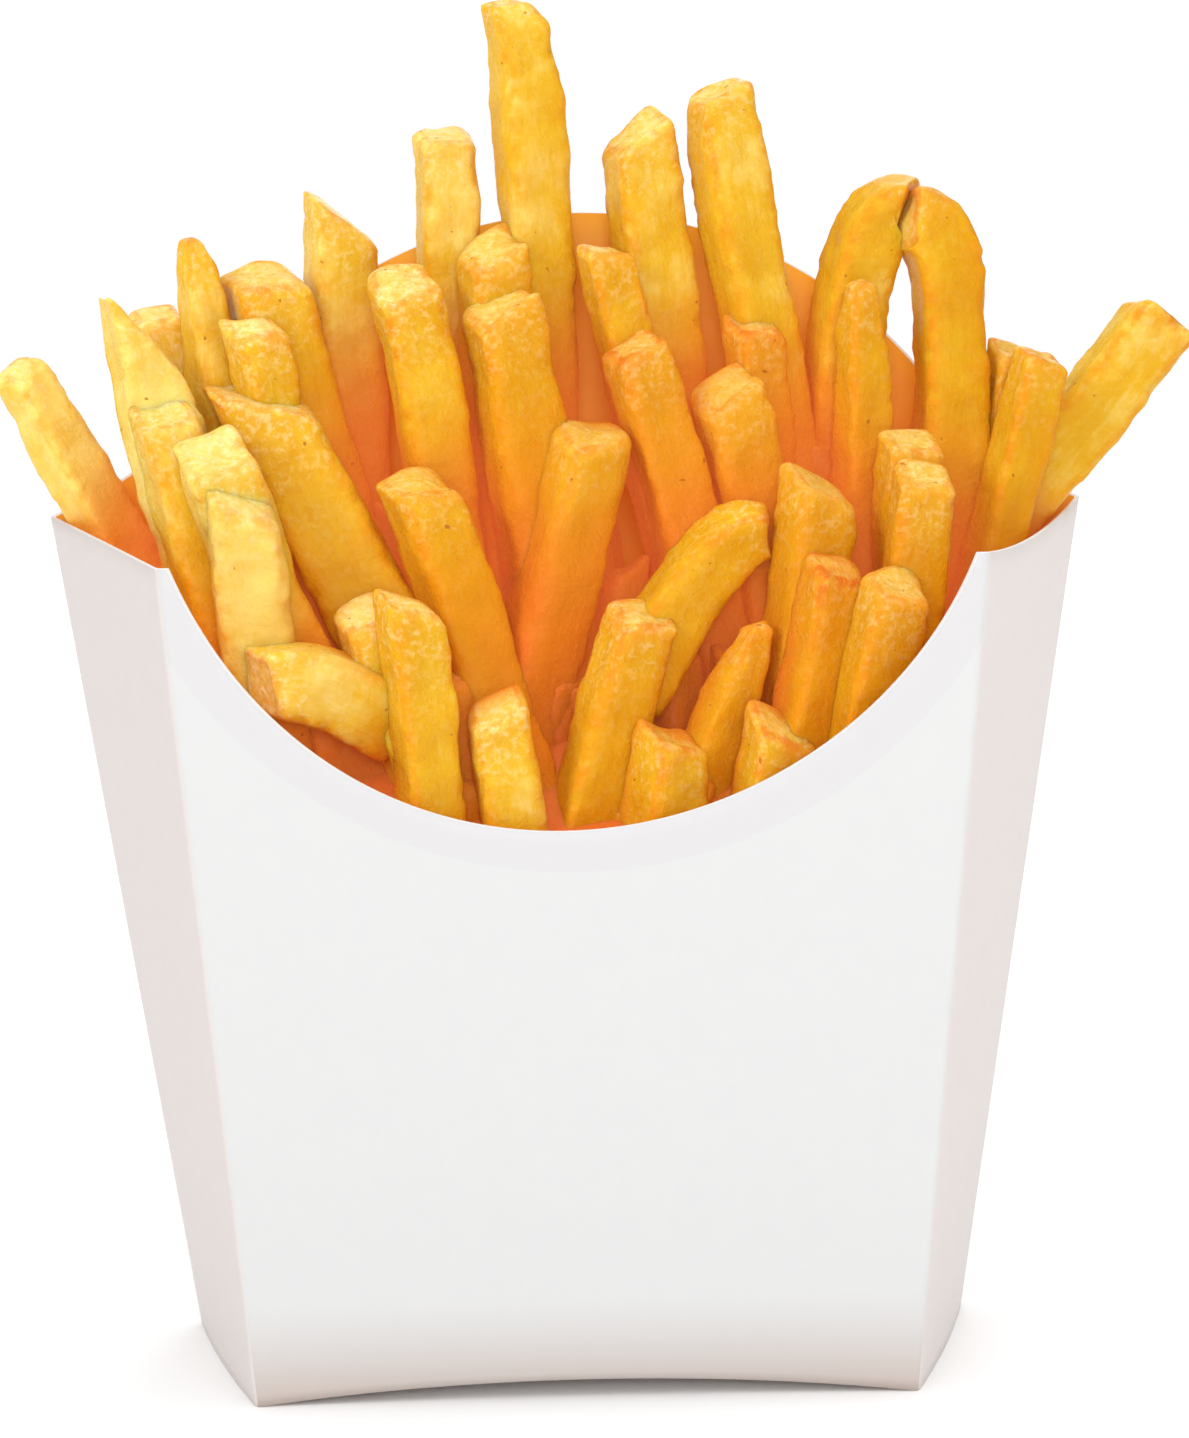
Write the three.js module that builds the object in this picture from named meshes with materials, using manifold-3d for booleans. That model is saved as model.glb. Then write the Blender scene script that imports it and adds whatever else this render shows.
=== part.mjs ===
// A folded paperboard carton of french fries, scooped at the front and arched at the back.
// Millimetres. +Z is up and -Y is the scooped front. The origin is on the surface that the carton
// stands on, under the middle of the box around the whole serving.

import * as THREE from 'three';
import { mergeVertices } from 'three/addons/utils/BufferGeometryUtils.js';
import Module from 'manifold-3d';

const wasm = await Module();
wasm.setup();

// The board, and the gap that the food keeps from it.
const BOARD = 0.5;
const GAP = 0.3;

// The carton is a trapezium seen from above, wider at the back, and it grows from base to rim, so
// that all four panels lean out. Half widths and depths are those of the outside of the board.
const BASE = { frontHalf: 43.3, backHalf: 53, frontY: 0, backY: 35.7, frontZ: 0, backZ: 0 };
const RIM = { frontHalf: 52, backHalf: 70.5, frontY: -6.2, backY: 43.9, frontZ: 111.2, backZ: 112.3 };

// The front panel's rim is a scoop with a short flat beside each crease. Lean is how far its lowest
// stretch is pushed to the left.
const SCOOP = { radius: 54.2, lowest: 76.5, lean: 1.6 };

// The back panel's rim is an arch that flattens into a shoulder towards each crease. Its middle is
// to the right of the panel's.
const ARCH = { radius: 60.5, middle: 2.2, highest: 152, halfWidth: 46.5 };
const SHOULDER = { x: 59, z: 116.3 };

// The right side panel's rim dips between its creases, and the left one is straight.
const RIGHT_DIP = 1.6;

// The base is pushed up into a vault, which draws in the foot of the front and back panels, and the
// side panels bow out at their foot.
const VAULT = { rise: 2.5, halfWidth: 43.3 };
const CURL = { depth: 1.2, height: 14 };
const SIDE_BOW = 0.7;

// The steps of the carton's surface: across each panel, up its walls and out over its base.
const CARTON_STEPS = { front: 11, side: 6, back: 6 };
const WALL_ROWS = [0, 0.04, 0.09, 0.17, 0.4, 0.7, 1];
const BASE_RING = 0.6;

// The packed heap under the fries that show: its height at the front and back walls, and its dome.
const HEAP = { front: 71, back: 96, dome: 7 };
const HEAP_STEPS = { front: 4, side: 3, back: 3 };
const HEAP_ROWS = [0, 0.5, 1];
const DOME_RING = 0.6;

// A fry has a square section with cut corners. Rows run from its tip to its foot, each at a share of
// its length and of its thickness, and a curved fry has more of them.
const FRY_SIDES = 8;
const CORNER_CUT = 0.6;
const STRAIGHT_ROWS = [{ at: 1, width: 0.8 }, { at: 0.95, width: 1 }, { at: 0, width: 0.92 }];
const CURVED_ROWS = [
  { at: 1, width: 0.8 },
  { at: 0.93, width: 1 },
  { at: 0.75, width: 1 },
  { at: 0.5, width: 1 },
  { at: 0, width: 0.92 },
];

// The fries that stand out of the heap, from left to right. Each runs from its tip to its foot in the
// heap, by way of bend where it is curved. Side is its thickness, turn is the angle in degrees that
// its section is turned about its length, and point is the width of its end as a share of side.
const FRIES = [
  { tip: [-73.2, 38, 132.8], foot: [-48.2, 36.3, 86], side: 8, turn: 42, point: 0.75 },
  { tip: [-55.2, 22, 138.3], foot: [-41.2, 16, 76.5], side: 9.8, turn: 20, point: 0.85 },
  { tip: [-54.3, 34, 140.2], foot: [-42.3, 31, 86], side: 7.4, turn: 15 },
  { tip: [-49, 29, 151], foot: [-37.7, 25, 82], side: 7.2, turn: 30, point: 0.32 },
  { tip: [-39.8, 31, 144.9], foot: [-25.4, 28, 83], side: 11, turn: 20 },
  { tip: [-40.9, 23, 139.1], foot: [-26.9, 21, 79], side: 7.4, turn: 30 },
  { tip: [-52.3, 15, 128.6], foot: [-38.2, 11, 72.7], side: 8.8, turn: 20 },
  { tip: [-40.3, 21, 129.8], foot: [-12.2, 16, 73.5], side: 12, turn: 6 },
  { tip: [-45.2, 8, 124], foot: [-23.7, 13, 72], bend: [-38, 10.5, 98], side: 9.2, turn: 15 },
  { tip: [-41.7, 4, 118.6], foot: [-38, 12, 67], side: 10.3, turn: 10, point: 0.85 },
  { tip: [-40, 0.4, 95.3], foot: [-23.5, 9, 89], bend: [-31, 3.6, 95.6], side: 10.6, turn: 0 },
  { tip: [-26.5, 7.5, 103.1], foot: [-14.6, 8, 70], side: 8.4, turn: 20 },
  { tip: [-17, 8, 95.6], foot: [-15.4, 8, 70], side: 7, turn: 15 },
  { tip: [-20.8, 2, 105.2], foot: [-17.6, 3, 67], side: 7.8, turn: 25 },
  { tip: [-10, 2, 91.1], foot: [-6.9, 3, 67], side: 8, turn: 8 },
  { tip: [-19.7, 14, 119.2], foot: [-4.8, 9, 72], side: 9.2, turn: 25 },
  { tip: [-21, 24, 144.1], foot: [-13.5, 21, 80], bend: [-15.5, 23, 121], side: 9, turn: 15 },
  { tip: [-29.5, 38, 152.6], foot: [-28.2, 35, 87], side: 8.8, turn: 20 },
  { tip: [-15.4, 38, 162.5], foot: [-15.7, 35, 88], side: 7.8, turn: 15 },
  { tip: [-9.3, 31, 148], foot: [-7.3, 30, 84], side: 9, turn: 20 },
  { tip: [-8.3, 24, 141.2], foot: [1.2, 17, 78], side: 10.2, turn: 20 },
  { tip: [-7.1, 37, 180], foot: [-6.1, 36, 87], bend: [0.9, 37, 166.4], side: 8.8, turn: 20, point: 0.6 },
  { tip: [3.4, 18, 124.5], foot: [-10.7, 14, 75], side: 10, turn: 25 },
  { tip: [5.2, 31, 148], foot: [20.6, 28, 84], side: 7.8, turn: 20, point: 0.8 },
  { tip: [10, 38, 163], foot: [18, 35, 88], side: 9, turn: 20 },
  { tip: [9, 24, 135.3], foot: [25.4, 17, 78], side: 8.4, turn: 20 },
  { tip: [9.2, 9, 102], foot: [-0.9, 6, 70], side: 9, turn: 20 },
  { tip: [12.3, 2, 87.6], foot: [9.6, 3, 66], side: 9.6, turn: 30 },
  { tip: [24.4, 16, 111.8], foot: [6.6, 12, 90.5], bend: [19.2, 15, 113.8], side: 8.6, turn: 20 },
  { tip: [21.1, 37, 168], foot: [33.4, 32, 86], side: 8.9, turn: 20 },
  { tip: [25.2, 31, 137.6], foot: [28.6, 28, 84], side: 7.4, turn: 25 },
  { tip: [21, 24, 129.8], foot: [31.4, 19, 79], side: 9.2, turn: 20 },
  { tip: [24.2, 8, 101], foot: [12.6, 6, 70], side: 7.6, turn: 25, point: 0.4 },
  { tip: [26.3, 2, 89], foot: [22.6, 3, 66], side: 8.8, turn: 20 },
  { tip: [32.3, 15, 118], foot: [27.2, 10, 74], side: 9.6, turn: 25 },
  { tip: [33.7, 7, 108], foot: [26.1, 4, 69], side: 7.6, turn: 25 },
  { tip: [41.4, 3, 106], foot: [32.3, 2, 67], side: 8.4, turn: 20 },
  { tip: [46.2, 37, 151.9], foot: [37.7, 34, 86], bend: [34.4, 36, 155.8], side: 9, turn: 15 },
  { tip: [39.1, 28, 143], foot: [39.1, 26, 82], side: 7.4, turn: 25, point: 0.4 },
  { tip: [45.8, 34, 150.9], foot: [45.6, 30, 86], bend: [57.6, 34, 150.4], side: 9.2, turn: 15 },
  { tip: [44.8, 20, 123], foot: [42.7, 16, 77], side: 8.4, turn: 15 },
  { tip: [45.8, 12, 119.2], foot: [40.1, 4, 70.2], side: 7.8, turn: 6 },
  { tip: [60.3, 34, 133], foot: [52.5, 31, 84], side: 7.4, turn: 20 },
  { tip: [63.1, 28, 133], foot: [49.4, 20, 79], side: 7, turn: 18, point: 0.85 },
  { tip: [80.8, 37, 137], foot: [44.8, 36.3, 94], side: 9.8, turn: 5 },
];

// Shorter fries fill the heap between them, in rows in depth and steps across each row. They rise
// out of the heap, more from frontY towards the back, and lean out with it, each a little differently.
const FILL = { rowYs: [7, 16, 25, 34], step: 9, halfWidth: 40.5, side: 7.6, depth: 5, rise: 26, frontY: 4 };
const FILL_SPREAD = { across: 6, rise: 9, lean: 9, seed: 11 };
const FILL_LEAN = 0.4;
const FILL_LOWEST_RISE = 1;

const WHITE_BOARD = new THREE.MeshStandardMaterial({ color: 0xf4f3f2, roughness: 0.55, metalness: 0 });
const FRIED_POTATO = new THREE.MeshStandardMaterial({ color: 0xf0ab3a, roughness: 0.5, metalness: 0 });

const { lerp, degToRad, seededRandom } = THREE.MathUtils;

// Leaves only shared positions in a geometry, and drops the triangles that closed up to a line.
function mergedGeometry(geometry) {
  geometry.deleteAttribute('normal');
  geometry.deleteAttribute('uv');
  const merged = mergeVertices(geometry);
  const corners = merged.getIndex().array;
  const kept = [];
  for (let i = 0; i < corners.length; i += 3) {
    const [a, b, c] = corners.slice(i, i + 3);
    if (a !== b && b !== c && c !== a) kept.push(a, b, c);
  }
  merged.setIndex(kept);
  return merged;
}

function toManifold(geometry) {
  const merged = mergedGeometry(geometry);
  return new wasm.Manifold(new wasm.Mesh({
    numProp: 3,
    vertProperties: new Float32Array(merged.getAttribute('position').array),
    triVerts: new Uint32Array(merged.getIndex().array),
  }));
}

function toGeometry(solid) {
  const { vertProperties, triVerts } = solid.getMesh();
  const geometry = new THREE.BufferGeometry();
  geometry.setAttribute('position', new THREE.BufferAttribute(vertProperties, 3));
  geometry.setIndex(new THREE.BufferAttribute(triVerts, 1));
  geometry.computeVertexNormals();
  return geometry;
}

// An outline of the carton with each of its four sides moved in by inset.
function insetOutline(outline, inset) {
  const flare = (outline.backHalf - outline.frontHalf) / (outline.backY - outline.frontY);
  const slant = Math.hypot(1, flare);
  return {
    ...outline,
    frontHalf: outline.frontHalf + inset * (flare - slant),
    backHalf: outline.backHalf - inset * (flare + slant),
    frontY: outline.frontY + inset,
    backY: outline.backY - inset,
  };
}

function middleY(outline) {
  return (outline.frontY + outline.backY) / 2;
}

function vaultHeight(x) {
  return VAULT.rise * Math.max(0, 1 - (x / VAULT.halfWidth) ** 2);
}

// The rims of the front and back panels, as points with x across and y up.
function frontRim(steps) {
  const centre = SCOOP.lowest + SCOOP.radius;
  const end = Math.acos((centre - RIM.frontZ) / SCOOP.radius);
  const path = new THREE.Path();
  path.moveTo(-RIM.frontHalf, RIM.frontZ);
  path.absarc(0, centre, SCOOP.radius, -Math.PI / 2 - end, -Math.PI / 2 + end, false);
  path.lineTo(RIM.frontHalf, RIM.frontZ);
  return path.getPoints(steps).map(({ x, y }) => {
    const low = (RIM.frontZ - y) / (RIM.frontZ - SCOOP.lowest);
    return { x: x - SCOOP.lean * low ** 2, y };
  });
}

function backRim(steps) {
  const { middle, halfWidth, radius } = ARCH;
  const centre = ARCH.highest - radius;
  const end = Math.asin(halfWidth / radius);
  const archEnd = centre + radius * Math.cos(end);
  const path = new THREE.Path();
  path.moveTo(RIM.backHalf, RIM.backZ);
  path.quadraticCurveTo(SHOULDER.x, SHOULDER.z, middle + halfWidth, archEnd);
  path.absarc(middle, centre, radius, Math.PI / 2 - end, Math.PI / 2 + end, false);
  path.quadraticCurveTo(-SHOULDER.x, SHOULDER.z, -RIM.backHalf, RIM.backZ);
  return path.getPoints(steps);
}

// The upright lines round the carton, counterclockwise from the front left crease. Each has its
// panel, its share of the way across that panel and the height of its rim.
function makeStations(steps) {
  const front = frontRim(steps.front).slice(0, -1)
    .map(({ x, y }) => ({ panel: 'front', share: x / RIM.frontHalf, rimZ: y }));
  const back = backRim(steps.back).slice(0, -1)
    .map(({ x, y }) => ({ panel: 'back', share: x / RIM.backHalf, rimZ: y }));
  const sides = Array.from({ length: steps.side }, (_, i) => i / steps.side);
  const right = sides.map((share) => sideStation(1, share));
  const left = sides.map((share) => sideStation(-1, 1 - share));
  return [...front, ...right, ...back, ...left];
}

function sideStation(sign, share) {
  const dip = sign > 0 ? RIGHT_DIP * 4 * share * (1 - share) : 0;
  return { panel: 'side', sign, share, rimZ: lerp(RIM.frontZ, RIM.backZ, share) - dip };
}

// A station's point on an outline, seen from above.
function outlinePoint(station, outline) {
  const { panel, share, sign } = station;
  if (panel === 'front') return { x: share * outline.frontHalf, y: outline.frontY };
  if (panel === 'back') return { x: share * outline.backHalf, y: outline.backY };
  return {
    x: sign * lerp(outline.frontHalf, outline.backHalf, share),
    y: lerp(outline.frontY, outline.backY, share),
  };
}

// The point at a share of the way up a station's line, on a wall moved in by inset. Lift raises
// both its foot and its rim.
function wallPoint(station, up, inset, footLift = 0, rimLift = 0) {
  const foot = outlinePoint(station, insetOutline(BASE, inset));
  const rim = outlinePoint(station, insetOutline(RIM, inset));
  const { panel, share, rimZ } = station;
  const x = lerp(foot.x, rim.x, up);
  const footZ = panel === 'side' ? 0 : vaultHeight(foot.x);
  const z = lerp(footZ + footLift, rimZ + rimLift, up);
  if (panel === 'side') {
    const bow = SIDE_BOW * 4 * share * (1 - share) * (1 - up) ** 2;
    return [x + station.sign * bow, lerp(foot.y, rim.y, up), z];
  }
  const corner = panel === 'front' ? RIM.frontZ : RIM.backZ;
  const curl = CURL.depth * (1 - share ** 2) * Math.max(0, 1 - z / CURL.height) ** 2;
  return [x, lerp(foot.y, rim.y, z / corner) + (panel === 'front' ? curl : -curl), z];
}

// A point of the vaulted base, at a share of the way from its middle to a station's foot.
function basePoint(station, out, inset, lift) {
  const [x, y] = wallPoint(station, 0, inset);
  return [x * out, lerp(middleY(BASE), y, out), vaultHeight(x * out) + lift];
}

// A closed solid through rings of points, from the middle of its underside, out, up and over to the
// middle of its top. A lathed cup gives the faces, and its points then move to the rings.
function ringSolid(rings, stations) {
  const last = rings.length - 1;
  const profile = rings.map((_, row) => new THREE.Vector2(row % last === 0 ? 0 : 1, row));
  const geometry = new THREE.LatheGeometry(profile, stations.length);
  const position = geometry.getAttribute('position');
  for (let i = 0; i < position.count; i += 1) {
    const station = stations[Math.floor(i / rings.length) % stations.length];
    position.setXYZ(i, ...rings[i % rings.length](station));
  }
  return geometry;
}

// The folded board: base, walls, rim and inside. Grow thickens it all round, to keep food clear.
function cartonGeometry(grow = 0) {
  const inner = BOARD + grow;
  const outerWall = WALL_ROWS.map((up) => (s) => wallPoint(s, up, -grow, -grow, 2 * grow));
  const innerWall = WALL_ROWS.map((up) => (s) => wallPoint(s, up, inner, inner, 2 * grow));
  return ringSolid([
    (s) => basePoint(s, 0, -grow, -grow),
    (s) => basePoint(s, BASE_RING, -grow, -grow),
    ...outerWall,
    ...innerWall.reverse(),
    (s) => basePoint(s, BASE_RING, inner, inner),
    (s) => basePoint(s, 0, inner, inner),
  ], makeStations(CARTON_STEPS));
}

function heapHeight(y) {
  return lerp(HEAP.front, HEAP.back, (y - RIM.frontY) / (RIM.backY - RIM.frontY));
}

// The packed fries inside the walls, under a low dome.
function heapGeometry() {
  const inset = BOARD + GAP;
  const wall = (s, row) => {
    const top = heapHeight(outlinePoint(s, RIM).y);
    return wallPoint(s, (row * top) / s.rimZ, inset, inset);
  };
  const dome = (s, out) => {
    const [x, y] = wall(s, 1);
    const depth = lerp(middleY(RIM), y, out);
    return [x * out, depth, heapHeight(depth) + HEAP.dome * (1 - out ** 2)];
  };
  return ringSolid([
    (s) => basePoint(s, 0, inset, inset),
    (s) => basePoint(s, BASE_RING, inset, inset),
    ...HEAP_ROWS.map((row) => (s) => wall(s, row)),
    (s) => dome(s, DOME_RING),
    (s) => dome(s, 0),
  ], makeStations(HEAP_STEPS));
}

// A point of the fry's section: a square with its corners cut, as FRY_SIDES directions meet it.
function sectionPoint(direction) {
  const c = Math.cos(direction);
  const s = Math.sin(direction);
  const wide = Math.abs(c) > Math.abs(s);
  return [Math.sign(c) * (wide ? 1 : CORNER_CUT), Math.sign(s) * (wide ? CORNER_CUT : 1)];
}

// A fry: a cylinder of few sides, its points moved to square sections along the fry's line.
function fryGeometry({ tip, foot, bend, side, turn, point = 1 }) {
  const start = new THREE.Vector3(...foot);
  const end = new THREE.Vector3(...tip);
  const middle = bend ? new THREE.Vector3(...bend) : start.clone().lerp(end, 0.5);
  const line = new THREE.QuadraticBezierCurve3(start, middle, end);
  const front = new THREE.Vector3(0, -1, 0);
  const rows = bend ? CURVED_ROWS : STRAIGHT_ROWS;
  const steps = rows.length - 1;
  const geometry = new THREE.CylinderGeometry(1, 1, steps, FRY_SIDES, steps, false, Math.PI / FRY_SIDES);
  const position = geometry.getAttribute('position');
  for (let i = 0; i < position.count; i += 1) {
    const row = Math.round(steps / 2 - position.getY(i));
    const { at, width } = rows[row];
    const along = line.getTangent(at);
    const across = along.clone().cross(front).normalize().applyAxisAngle(along, degToRad(turn));
    const outward = across.clone().cross(along);
    const half = (side / 2) * width * (row === 0 ? point : 1);
    const place = line.getPoint(at);
    if (Math.hypot(position.getX(i), position.getZ(i)) > 0.5) {
      const [u, v] = sectionPoint(Math.atan2(position.getZ(i), position.getX(i)));
      place.addScaledVector(across, u * half).addScaledVector(outward, v * half);
    }
    position.setXYZ(i, place.x, place.y, place.z);
  }
  return geometry;
}

// The shorter fries of the heap, leaning out more towards the carton's sides.
function fillFries() {
  seededRandom(FILL_SPREAD.seed);
  const spread = (width) => (seededRandom() - 0.5) * width;
  const backY = FILL.rowYs.at(-1);
  const fries = [];
  for (const y of FILL.rowYs) {
    const rowRise = (FILL.rise * (y - FILL.frontY)) / (backY - FILL.frontY);
    for (let column = -FILL.halfWidth; column <= FILL.halfWidth; column += FILL.step) {
      const x = column + spread(FILL_SPREAD.across);
      const rise = rowRise + spread(FILL_SPREAD.rise);
      const lean = (column / FILL.halfWidth) * rise * FILL_LEAN + spread(FILL_SPREAD.lean);
      const foot = [x, y, heapHeight(y) - FILL.depth];
      const tip = [x + lean, y, heapHeight(y) + Math.max(rise, FILL_LOWEST_RISE)];
      fries.push({ tip, foot, side: FILL.side, turn: seededRandom() * 90 });
    }
  }
  return fries;
}

// All the food as one solid: the heap with its fries fused on, less the carton and a gap round it.
// Of what that leaves, only the largest piece is kept, without the hollows sealed inside it.
function foodGeometry() {
  let food = toManifold(heapGeometry());
  for (const fry of [...FRIES, ...fillFries()]) {
    food = food.add(toManifold(fryGeometry(fry)));
  }
  const pieces = food.subtract(toManifold(cartonGeometry(GAP))).decompose();
  pieces.sort((a, b) => b.volume() - a.volume());
  return toGeometry(pieces[0]);
}

function namedMesh(name, geometry, material) {
  const mesh = new THREE.Mesh(geometry, material);
  mesh.name = name;
  return mesh;
}

const group = new THREE.Group();
group.add(namedMesh('carton', toGeometry(toManifold(cartonGeometry())), WHITE_BOARD));
group.add(namedMesh('fries', foodGeometry(), FRIED_POTATO));

// The serving is moved so that the middle of its underside is the origin.
const extent = new THREE.Box3().setFromObject(group);
const centre = extent.getCenter(new THREE.Vector3());
group.position.set(-centre.x, -centre.y, -extent.min.z);

export default group;
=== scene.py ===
"""A white paperboard carton filled with french fries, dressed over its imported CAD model.

Lengths in the tables are millimetres in the carton's own frame: x from its middle, y from the foot
of the front panel towards the back, z up. They are moved to the row frame, in metres, at the end.
"""

import itertools
import math

import bmesh
import bpy
import numpy as np
from mathutils import Matrix, Vector


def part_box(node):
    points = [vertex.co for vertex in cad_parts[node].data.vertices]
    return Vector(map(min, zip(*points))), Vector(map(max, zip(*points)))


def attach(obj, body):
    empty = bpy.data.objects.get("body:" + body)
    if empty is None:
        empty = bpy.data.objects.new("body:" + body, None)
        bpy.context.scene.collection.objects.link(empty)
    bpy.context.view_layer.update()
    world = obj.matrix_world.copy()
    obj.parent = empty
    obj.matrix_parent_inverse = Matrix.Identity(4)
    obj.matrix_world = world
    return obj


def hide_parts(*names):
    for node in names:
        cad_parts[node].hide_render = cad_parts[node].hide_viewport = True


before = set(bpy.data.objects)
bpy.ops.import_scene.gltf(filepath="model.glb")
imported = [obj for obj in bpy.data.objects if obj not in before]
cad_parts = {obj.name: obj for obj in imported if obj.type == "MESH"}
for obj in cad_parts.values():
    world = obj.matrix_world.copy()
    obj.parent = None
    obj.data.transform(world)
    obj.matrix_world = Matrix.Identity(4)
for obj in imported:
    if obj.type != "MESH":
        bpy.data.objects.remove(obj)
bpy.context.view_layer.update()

MM = 0.001
SAME_PLACE = 1e-6

# ------------------------ the carton's sizes

BOARD = 0.5
BASE = dict(front_half=43.3, back_half=53.0, front_y=0.0, back_y=35.7, front_z=0.0, back_z=0.0)
RIM = dict(front_half=52.0, back_half=70.5, front_y=-6.2, back_y=43.9, front_z=111.2, back_z=112.3)
SCOOP_RADIUS = 54.2
SCOOP_LOWEST = 76.5
SCOOP_LEAN = 1.6
ARCH_RADIUS = 60.5
ARCH_HIGHEST = 152.0
ARCH_MIDDLE = 2.2
ARCH_HALF = 46.5
SHOULDER = (59.0, 116.3)
RIGHT_DIP = 1.6
VAULT_RISE = 2.5
VAULT_HALF = 43.3
CURL_DEPTH = 1.2
CURL_HEIGHT = 14.0
SIDE_BOW = 0.7
CREASE = 0.9
CREASE_STEPS = 4
RIM_ROUND = 0.07
RIM_FACES = 4
BUCKLE = 0.22
BUCKLE_SIZE = 34.0
BUCKLE_SHIFT = 3.7
BUCKLE_START = 0.25
FRONT_STEPS = 84
SIDE_STEPS = 22
SHOULDER_STEPS = 18
ARCH_STEPS = 64
FOOT_SHARE = 0.16
FOOT_STEPS = 12
WALL_STEPS = 34
BASE_RINGS = (0.0, 0.25, 0.5, 0.75, 0.93)

# ------------------------ the fries

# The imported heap: its height at the front and back walls, and the core that fills it. The core has
# straight sides and a domed, lumpy top.
HEAP_FRONT = 71.0
HEAP_BACK = 96.0
HEAP_DOME = 7.0
CORE_INSET = 1.4
CORE_FLOOR = 4.0
CORE_SINK = 2.0
CORE_SIDES = (0.0, 0.5, 1.0)
CORE_RINGS = 40
CORE_COLUMNS = 120
CORE_REACH = (0.97, 0.03)
CORE_LUMP = 1.8
CORE_LUMP_SIZE = 6.0
CORE_LUMP_SHIFT = 1.1
CORE_TONE = 0.8

# What a fry has where its row doesn't say.
FRY_USUAL = dict(turn=20, point=1, cut=(0, -0.3), tone=0.5, burn=0.15, shade=1)


def fry(tip, foot, side, **rest):
    """Tip and foot are the middles of the fry's ends, by way of bend where it is curved. Side is
    its thickness, turn the angle of its section, point the width of its end as a share of side, and
    cut the slope of its end across it and towards the front. Tone is its colour from pale to brown,
    burn the browning of its tip, frost its pale crisp film, which is partly a painted highlight, and
    shade how much of the heap's painted deep orange shade it takes."""
    return dict(FRY_USUAL, tip=tip, foot=foot, side=side, **rest)


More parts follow.
